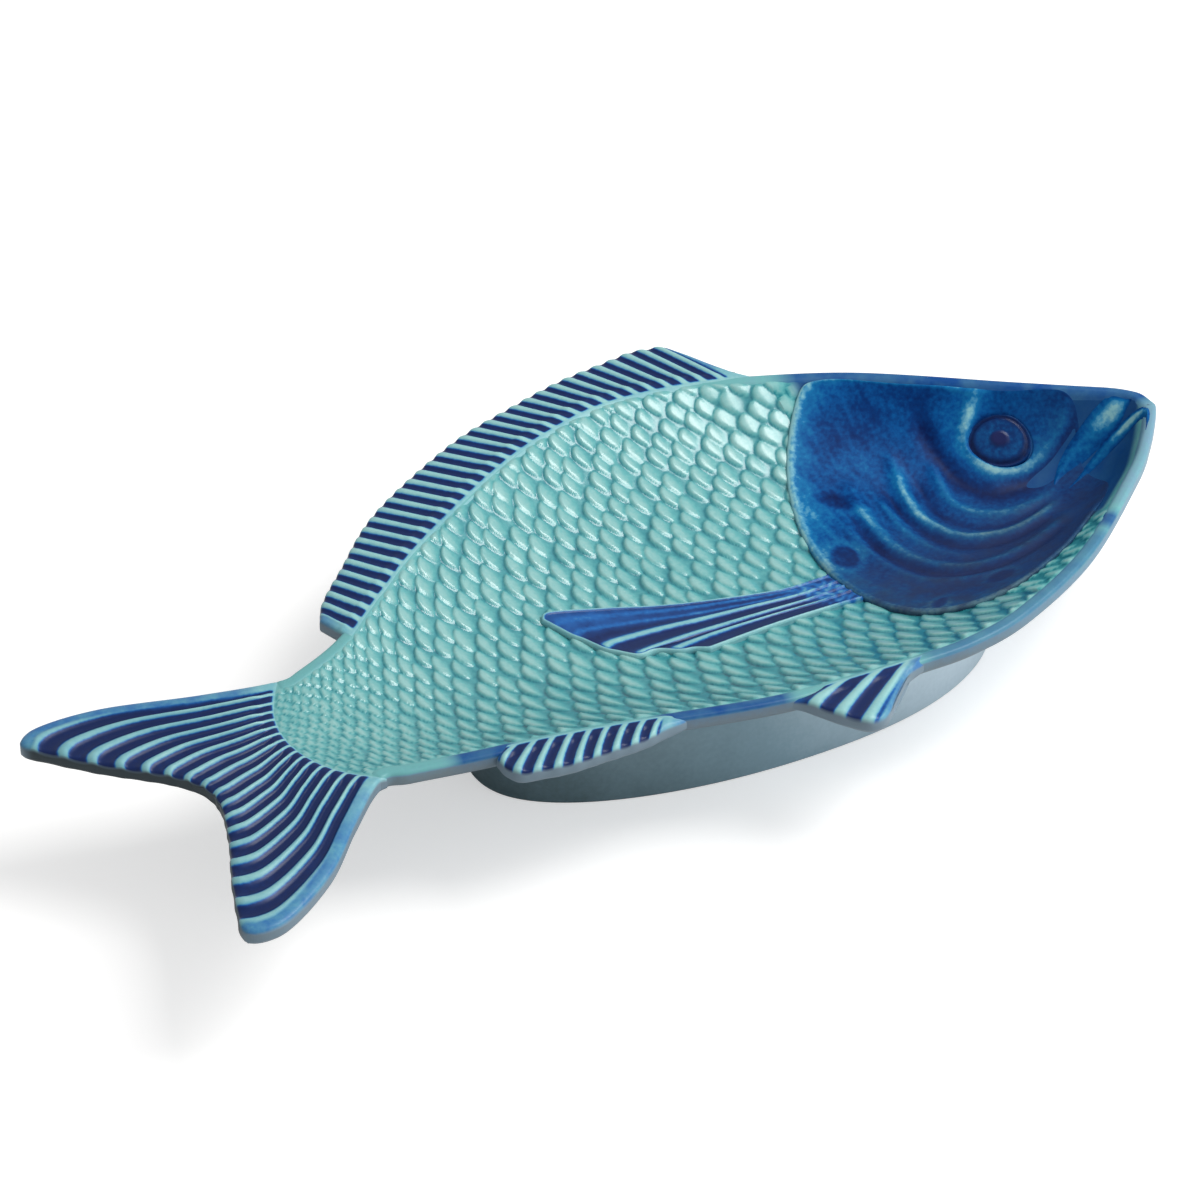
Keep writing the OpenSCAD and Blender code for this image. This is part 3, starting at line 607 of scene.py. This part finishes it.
# Along each rim fin: the share of its span, its slant towards the tail and its height, as shares of its height.
dorsal_shares = [[0, 0.03, 0.31], [0.056, 0.19, 0.36], [0.141, 0.25, 0.42], [0.282, 0.31, 0.55], [0.47, 0.34, 0.56],
                 [0.66, 0.34, 0.55], [0.8, 0.31, 0.71], [0.895, 0.35, 0.9], [0.945, 0.38, 1], [0.962, 0.38, 0.9],
                 [0.978, 0.34, 0.56], [0.99, 0.24, 0.2], [1, 0.05, -0.05]]
anal_shares = [[0, 0.1, 0.05], [0.03, 0.27, 0.47], [0.08, 0.33, 0.785], [0.15, 0.24, 0.86], [0.3, 0.19, 0.9],
               [0.5, 0.15, 0.74], [0.7, 0.1, 0.54], [0.85, 0.05, 0.26], [0.94, 0, 0.08], [1, 0, -0.1]]
pelvic_shares = [[0, 0, -0.08], [0.1, -0.07, 0.06], [0.2, -0.03, 0.47], [0.3, 0.03, 0.8], [0.37, 0.04, 0.92],
                 [0.45, 0, 0.85], [0.6, 0, 0.49], [0.75, 0, 0.18], [0.88, 0, 0.03], [1, 0, -0.09]]


def rim_fin(name, span, rooted, inset, table, height, bend, ribbed, ribs, phase, sharp, borders, replaced, curl=0.0):
    """A fin along the outline over span, whose outer line is the outline moved by the table's shares.

    The ribs fill the share ribbed of the fin. They start on a line inset from the outline over rooted, and end on
    the outer line up to share bend. The rest of the outer line is the fin's front side, with the share of points
    that ribbed leaves.
    """
    side = 1 if height > 0 else -1
    edge = back_y if height > 0 else belly_y
    t = np.linspace(0, 1, line_points)
    x = np.interp(t, (0, 1), span) * body_len
    line = curve(np.array(table))
    slant, tall = (np.interp(t, line[:, 0], line[:, n]) for n in (1, 2))
    outer = np.stack([x - slant * abs(height), edge(x) + tall * height], 1)
    turn_at, thinned = int(bend * (line_points - 1)), int(2 * ribbed / (1 - ribbed))
    far = np.vstack([evenly(outer[:turn_at + 1])[::2], evenly(outer[turn_at:])[::thinned]])
    roots = np.where(t < ribbed, np.interp(t, (0, ribbed), rooted), np.interp(t, (ribbed, 1), (rooted[1], span[1])))
    near = np.stack([roots * body_len, edge(roots * body_len) - side * inset * (1 - 0.5 * ease(t, 0.9, 1))], 1)
    lower, upper = (np.linspace(near[end], outer[end], 9) for end in (0, -1))
    ribbed_fin(name, near, far, lower, upper, ribs, phase, sharp, fin_rise, 0.15, borders, replaced,
               ribbed=ribbed, curl=curl)


rim_fin("back_fin", (0.091, 0.7), (0.098, 0.67), 6.5, dorsal_shares, 34.2, 0.955, 0.97, 33, 0.5, 1.6,
        (2.0, 0), "dorsal_fin")
rim_fin("rear_belly_fin", (0.112, 0.295), (0.126, 0.28), 5.5, anal_shares, -13.5, 0.80, 0.93, 9, 0.5, 2.0,
        (0, 0), "anal_fin", 0.5)
rim_fin("front_belly_fin", (0.37, 0.545), (0.40, 0.535), 5.5, pelvic_shares, -23.5, 0.40, 0.75, 4, 0.5, 1.9,
        (0, 0), "pelvic_fin", 0.4)

# Tail fin
# The forked tail, pressed in clay level with the rim and flat underneath. Its ribs leave the arc where the scales
# end and sweep out to the fork in S-curves, with cobalt in the wide grooves between them.
tail_fork_shares = np.array([[0.756, -0.6], [0.628, -0.314], [0.547, -0.043], [0.605, 0.2], [0.802, 0.533]])
seam_v = np.linspace(0, 1, 200)
seam = np.stack([-seam_bow * 4 * seam_v * (1 - seam_v), belly_y(0) + (back_y(0) - belly_y(0)) * seam_v], 1)
tail_lower = curve(np.vstack([seam[:1], tail_points(tail_lower_shares)]), belly_points[1:2])
tail_upper = curve(np.vstack([seam[-1:], tail_points(tail_upper_shares)]), back_points[1:2])
fork = curve(np.vstack([tail_lower[-1:], tail_points(tail_fork_shares), tail_upper[-1:]]))
tail_lower, fork = softened(tail_lower, fork, 7.0)
tail_upper, fork = softened(tail_upper, fork[::-1], 5.0)
root = seam + [fin_in, 0]
ribbed_fin("forked_tail", root, evenly(fork[::-1], 0.05), evenly(np.vstack([root[:1], tail_lower])),
           evenly(np.vstack([root[-1:], tail_upper])), 17, 0.5, 2.7, 1.5, 0.3, (3.4, 4.0), "tail_fin", 110, bare=0.8)

# Side fin
# A long fan of rays laid in the well behind the gill cover. Its border and rays stand proud in pale glaze, and
# the grooves are brushed with cobalt.
pectoral_len, pectoral_w, ray_places = 103.0, 45.0, ((0.34, 0.2), (0.54, 0.4), (0.73, 0.6))
relief_t = 1.6
pectoral_root = 0.6 * body_len + 2.5
pectoral_lower_shares = np.array([[0, -0.2], [0.105, -0.178], [0.373, -0.156], [0.612, -0.167]])
pectoral_upper_shares = np.array([[0, 0.244], [0.18, 0.267], [0.373, 0.389], [0.565, 0.533], [0.756, 0.7],
                                  [0.95, 0.822], [1, 0.756]])
pectoral_end_shares = np.array([[0.612, -0.167], [0.756, 0.022], [0.852, 0.089], [0.919, 0.333], [1, 0.756]])


def pectoral_line(shares):
    """Shares of the side fin's length and spread, measured from its root towards the tail."""
    return curve(np.stack([pectoral_root - shares[:, 0] * pectoral_len, shares[:, 1] * pectoral_w], 1))


fin_low, fin_top, fin_end = (evenly(pectoral_line(shares)) for shares in
                             (pectoral_lower_shares, pectoral_upper_shares, pectoral_end_shares))
wavy = np.linspace(0, 1, line_points)
fin_end[:, 1] += 0.7 * np.sin(9 * np.pi * wavy) * ease(wavy, 0, 0.1) * (1 - ease(wavy, 0.75, 0.95))
root_line = np.stack([fin_low[0], fin_top[0]])
fan_rows, ray_columns = 170, 260
ray_b, back_b = np.linspace(0, 1, ray_columns), np.linspace(1, 0, ray_columns)
mesh_a, mesh_b = np.meshgrid(np.linspace(0, 1, fan_rows), np.concatenate([ray_b, back_b]), indexing="ij")
plan = blended(root_line, fin_end, fin_low, fin_top, mesh_a[..., None], mesh_b[..., None])
plan_x, plan_y, fan_a = plan[..., 0], plan[..., 1], mesh_a[:, :ray_columns]
px, py = plan_x[:, :ray_columns], plan_y[:, :ray_columns]
edge_in = distance(np.vstack([fin_low, fin_end, fin_top[::-1]])[::3], px, py)[0]
border = 1 - ease(edge_in, 0.6, 1.6)
ray_width, faint_width, faint_places = 0.031, 0.05, (0.78, 0.9)
rays = sum(np.exp(-((fan_a - at_root - (at_end - at_root) * ray_b) / ray_width) ** 2)
           for at_root, at_end in ray_places) * ease(edge_in, 0.6, 2.0)
ray_relief = np.maximum(rays, border)
roll = 0.45 + 0.55 * np.sqrt(1 - (1 - np.clip(edge_in / 1.4, 0, 1)) ** 2)
near_root = ease(ray_b, 0.06, 0.26)[None]
fin_z = np.concatenate([well(px, py) + 0.1 + (relief_t + 0.7 * ray_relief) * roll,
                        well(plan_x[:, ray_columns:], plan_y[:, ray_columns:]) - 1.0], 1)
faint = sum(np.exp(-((fan_a - place) / faint_width) ** 2) for place in faint_places)
blotches = 0.45 + 0.16 * np.sin(0.8 * px + 2 * np.sin(0.6 * py)) * np.sin(1.1 * py + 1.5 * np.sin(0.7 * px))
ray_tone = np.clip((0.9 * ray_relief + 0.45 * faint * (1 - border)) * near_root + blotches * (1 - near_root), 0, 1)
brush = ease(fan_a, 0.68, 0.8) * (1 - border) * ease(ray_b, 0.3, 0.9) * 0.7
blank = np.ones((fan_rows, ray_columns))
side_fin = shell("side_fin", lifted(plan_x, plan_y, fin_z), {
    "relief": np.concatenate([ray_tone, 0.8 * blank], 1), "wash": np.concatenate([brush, 0 * blank], 1),
    "edge": 0 * mesh_a, "fork": 0 * mesh_a}, marks=range(ray_columns))
side_fin.data.materials.append(fin_paint)
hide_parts("pectoral_fin")

# Head
# A thin relief plate laid over the front of the well. Ridges run round the eye from cheek to throat, its edge
# rises in a lip over the first scales, and its deep blue glaze is paler where it runs thin on the ridges.
eye_len, eye_w, eye_slant = 22.4, 12.8, np.radians(-38.0)
eye_centre = np.array([0.867 * body_len, 0.25 * back_rise])
gill_shares = np.array([[0.941, 0.18], [0.888, 0.325], [0.814, 0.52], [0.743, 0.685], [0.708, 0.68], [0.655, 0.5],
                        [0.619, 0.223], [0.609, -0.07], [0.628, -0.32], [0.69, -0.433], [0.776, -0.385],
                        [0.83, -0.31], [0.885, -0.2], [0.918, -0.09], [0.925, 0.05]])
gill_points = gill_shares * [body_len, back_rise]
loop = curve(np.vstack([gill_points[-3:], gill_points, gill_points[:3]]))
gill_border = loop[120:120 + 40 * len(gill_points)][::2]
to_border = gill_border - eye_centre
bearing = np.arctan2(to_border[:, 1], to_border[:, 0]) - eye_slant
half_a, half_b = eye_len / 2, eye_w / 2
eye_reach = half_a * half_b / np.hypot(half_b * np.cos(bearing), half_a * np.sin(bearing))
socket = eye_centre + to_border / np.linalg.norm(to_border, axis=1, keepdims=True) * (eye_reach[:, None] - 0.4)
# The plate runs between its border, at share 1, and the socket, at share 0: over the face and back below.
face_columns, under_columns = 220, 14
share = np.concatenate([np.linspace(1, 0, face_columns), np.linspace(0, 1, under_columns)])
plan = socket[:, None] + (gill_border - socket)[:, None] * share[None, :, None]
plan_x, plan_y, face_share = plan[..., 0], plan[..., 1], share[:face_columns]
px, py = plan_x[:, :face_columns], plan_y[:, :face_columns]
under_x, under_y = plan_x[:, face_columns:], plan_y[:, face_columns:]
span = np.linalg.norm(gill_border - socket, axis=1)[:, None]
edge_mm, socket_mm = (1 - face_share) * span, face_share * span
head_x, head_y = px + plan_shift[0], py + plan_shift[1]
taper = 0.15


def raised(points, width, height):
    """A soft ridge along points: height times exp(-(distance / width)^2), fading towards both of its ends."""
    gap, place = distance(curve(np.array(points, float), steps=6), head_x, head_y)
    ends = ease(place, 0, taper) * (1 - ease(place, 1 - taper, 1))
    return height * np.exp(-(gap / width) ** 2) * ends


# Each ridge and groove has its points in the object's own plan, its width and its height.
ridges = sum(raised(*line) for line in (
    ([(103, 16), (101, 5), (100, -8), (101, -20), (103, -30), (108, -37), (118, -45), (130, -49)], 2.4, 0.55),
    ([(113, 28), (112, 20), (110, 8), (109, -5), (110, -15), (113, -24), (118, -32), (125, -37), (135, -39),
      (148, -38), (160, -35), (172, -28)], 3.0, 0.9),
    ([(120, 16), (119, 8), (118, -2), (119, -12), (122, -22), (128, -29)], 2.0, 0.5),
    ([(134, 30), (131, 20), (128, 10), (127, 0), (129, -8), (132, -15), (138, -20), (147, -24), (158, -24),
      (168, -21), (178, -17)], 2.6, 1.1),
    ([(146, 20), (142, 10), (141, 0), (144, -6), (150, -12), (158, -15), (168, -15), (178, -13)], 2.4, 0.8),
    ([(176, 24), (166, 22), (160, 18), (158.5, 10), (161, 3), (168, -1), (178, -2.5), (188, -1), (194, 3)],
     2.8, 0.95)))
grooves = sum(raised(*line) for line in (
    ([(150, 36), (148, 27), (148, 15), (150, 5), (155, -3), (163, -6), (175, -6.5), (186, -4), (197, 0)],
     3.6, 1.1),
    ([(124, 24), (123, 10), (122.5, 0), (124, -10), (127, -18), (133, -25), (142, -29), (155, -29), (168, -26)],
     2.2, 0.8),
    ([(136, 18), (134.5, 8), (134, -2), (138, -11), (146, -18), (158, -20), (170, -18)], 2.0, 0.6),
    ([(107, 16), (105, 4), (104.5, -8), (106, -20), (109, -29), (116, -38), (128, -44), (145, -44), (160, -40)],
     2.6, 0.8),
    ([(93, 22), (91.5, 8), (91, -10), (91.5, -30)], 3.0, 0.2)))
roll = np.sqrt(1 - (1 - np.clip(edge_mm / 2.2, 0, 1)) ** 2)
hem = np.exp(-((edge_mm - 1.6) / 1.3) ** 2)
dip = 1 - ease(socket_mm, 0.0, 1.6)
muzzle = 1 - ease(px, 284, 302)
carved = 1.25 * ridges - 0.8 * grooves + 0.35 * hem * muzzle
head_z = well(px, py) + 0.1 + relief_t * muzzle * (0.5 + 0.5 * roll) + carved * roll - 1.1 * dip


def spot(x, y, long, wide, slant, soft):
    """A painted oval: 1 inside an ellipse turned by slant and 0 outside it, eased over the share soft."""
    c, s = np.cos(np.radians(slant)), np.sin(np.radians(slant))
    gap = np.hypot(((head_x - x) * c + (head_y - y) * s) / long, ((head_y - y) * c - (head_x - x) * s) / wide)
    return 1 - ease(gap, 1 - soft, 1 + soft)


ink = np.clip(spot(91, -2.5, 6.5, 5, 60, 0.25) + spot(94, -51.5, 5, 2.2, 35, 0.3) + spot(107, 21, 9, 3.0, -40, 0.4)
              + 0.8 * spot(119, -53, 5.5, 4.2, 20, 0.25) + 0.3 * spot(128, 40, 22, 7, -25, 0.6)
              + 0.6 * spot(152, 36, 9, 4, -30, 0.7) + 0.7 * spot(104, -5, 2, 4, 0, 0.8)
              + 0.5 * spot(113, -5, 2, 4, 0, 0.8), 0, 1)
halo = np.clip(spot(91, -2.5, 9, 7.5, 60, 0.3) + spot(119, -53, 8, 6.5, 20, 0.3)
               + spot(94, -51.5, 7, 4, 35, 0.4), 0, 1)
# A painted dark reflection: a grey-mauve wash over the lower head, towards the belly.
painted_reflection = 0.9 * ease(-head_y, -22, 38)
waves = (np.sin(1.3 * head_x + 0.25 * head_y + 1.5 * np.sin(0.21 * head_y))
         + np.sin(2.1 * head_x - 0.2 * head_y + np.sin(0.4 * head_y)) + np.sin(0.8 * head_x + 0.1 * head_y))
streaks = waves * ease(head_y, -15, 5) * (1 - ease(head_x, 130, 150))
cheek_edge = (1 - ease(edge_mm, 2, 16)) * ease(head_x, 68, 96) * (1 - ease(head_x, 110, 140))
socket_ring = np.exp(-((socket_mm - 3.2) / 1.8) ** 2) * ease(np.sin(bearing + eye_slant - 1.9)[:, None], -0.9, 0.1)
tone = 0.40 + 0.028 * streaks + 0.40 * ridges ** 1.5 - 0.36 * grooves - 0.28 * ink - 0.3 * dip
tone += 0.22 * halo * (1 - ink) + 0.28 * cheek_edge + 0.2 * socket_ring
# The hem is paler where the glaze runs thin, and the outer 1.4 mm is lightened further: partly a pale lip and partly
# painted light that lifts the shade of the rolled edge.
tone += (0.26 * hem * ease(face_share, 0.5, 0.9) + 0.3 * (1 - ease(edge_mm, 0.2, 1.4))) * muzzle
head_grid = np.concatenate([lifted(px, py, head_z), lifted(under_x, under_y, well(under_x, under_y) - 1.2)], 1)
blank = np.ones(under_x.shape)
head_piece = shell("gill_plate", head_grid, {"relief": np.concatenate([tone, 0.8 * blank], 1),
                                             "painted_reflection": np.concatenate([painted_reflection, blank], 1)}, around=True)
head_stops = [(0.0, linear(2, 26, 76)), (0.25, linear(2, 50, 110)), (0.45, linear(4, 78, 142)),
              (0.68, linear(20, 110, 164)), (0.85, linear(84, 152, 184)), (1.0, linear(136, 188, 196))]
# The second wash is a painted dark reflection, grey-mauve, laid over the lower head.
head_paint = glaze("head_glaze", head_stops, [("painted_reflection", linear(42, 50, 82), 0.3)], 0.4, 0.0, 0.10, 0.06)
head_piece.data.materials.append(head_paint)
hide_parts("gill_cover")

# Eye
# A low dome of clay set in the plate's hole, with a raised pupil and a shallow groove round the iris. The iris is
# brushed in blue glaze inside a dark ring, and the pupil is a dark mauve.
eye_rise, dome_rows, base_rows, spokes = 3.2, 70, 12, 120
out, back_in = np.linspace(0.01, 1, dome_rows), np.linspace(1, 0.01, base_rows)
spin = np.linspace(0, 2 * np.pi, spokes, endpoint=False)
reach_at = half_a * half_b / np.hypot(half_b * np.cos(spin - eye_slant), half_a * np.sin(spin - eye_slant))
ring = np.concatenate([out, back_in])[:, None]
ex, ey = eye_centre[0] + ring * reach_at * np.cos(spin), eye_centre[1] + ring * reach_at * np.sin(spin)
pupil = 1 - ease(out, 0.18, 0.38)
moat = np.exp(-((out - 0.9) / 0.07) ** 2)
dark_ring = np.exp(-((out - 0.88) / 0.12) ** 2)
dome = np.sqrt(1 - (0.97 * out) ** 2)
dome_z = 0.6 + eye_rise * (0.75 * dome + 0.2 * pupil) - 0.5 * moat
hidden = np.ones(base_rows)
eye_z = well(ex, ey) + np.concatenate([dome_z, -hidden])[:, None]
iris = 0.44 - 0.30 * pupil - 0.42 * dark_ring
eye_piece = shell("eye", lifted(ex, ey, eye_z), {"relief": np.concatenate([iris, 0.3 * hidden])[:, None] + 0 * ex,
                                                 "mauve": np.concatenate([pupil, 0 * hidden])[:, None] + 0 * ex})
eye_stops = [(0.0, linear(2, 24, 70)), (0.35, linear(2, 50, 106)), (0.6, linear(8, 86, 144)),
             (1.0, linear(90, 160, 190))]
eye_paint = glaze("eye_glaze", eye_stops, [("mauve", linear(30, 36, 84), 0.2)], 0.27, 0.0, 0.1, 0.18)
eye_piece.data.materials.append(eye_paint)
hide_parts("eyeball")

# Mouth
# Two rolled lips of clay in relief that meet in a groove at the nose, the lower one running out along the jaw.
# They lie on the bowl under the head's blue glaze, which is paler where it runs thin on their crowns, and a painted
# highlight brightens them towards the nose tip.
# Along each lip: its place in the plan and its half width.
upper_lip = [(300, 5.0, 1.6), (305, 8.4, 2.4), (311, 10.0, 3.4), (320, 9.8, 4.2), (328, 8.0, 4.2), (334, 5.4, 3.4)]
lower_lip = [(301, 1.0, 1.8), (308, 2.4, 2.3), (316, 3.2, 2.6), (324, 2.6, 2.7), (330, 0.4, 2.6), (332.5, -3.5, 2.6),
             (330, -8.5, 2.6), (325, -13.5, 2.0)]
fold_columns, below_columns = 48, 12


def lip(name, points, height, paleness_and_highlight, fade, replaced):
    """A soft fold along points: its face is the bowl plus height times (1 - t^2)^2 across, and it sinks away past
    the share fade of its length."""
    path = curve(np.array(points, float))[::2]
    way = np.gradient(path[:, :2], axis=0)
    way /= np.linalg.norm(way, axis=1, keepdims=True)
    t = np.concatenate([np.linspace(-1, 1, fold_columns), np.linspace(1, -1, below_columns)])
    s = np.linspace(0, 1, len(path))
    ends = ease(s, 0, 0.5) * (1 - ease(s, fade, 1))
    reach = (path[:, 2] * (0.15 + 0.85 * ends))[:, None] * t
    x, y = path[:, :1] - way[:, 1:] * reach, path[:, 1:2] + way[:, :1] * reach
    over = np.arange(len(t)) < fold_columns
    crown = np.clip(1 - t ** 2, 0, 1) ** 2 * ends[:, None]
    z = np.where(over, well(x, y) + height * crown + 0.02, well(x, y) - 1.2)
    # The crown is paler where the glaze runs thin, and brighter towards the nose tip, where the extra paleness is a
    # painted highlight.
    pale = paleness_and_highlight * (0.35 + ease(x, 318, 330)) * crown
    piece = shell(name, lifted(x, y, z), {"relief": np.where(over, 0.38 + pale, 0.3), "painted_reflection": 0 * x})
    piece.data.materials.append(head_paint)
    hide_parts(replaced)


lip("upper_lip", upper_lip, 1.4, 0.5, 0.8, "upper_jaw")
lip("lower_lip", lower_lip, 1.1, 0.55, 0.5, "lower_jaw")

bpy.context.scene.view_settings.view_transform = "Standard"
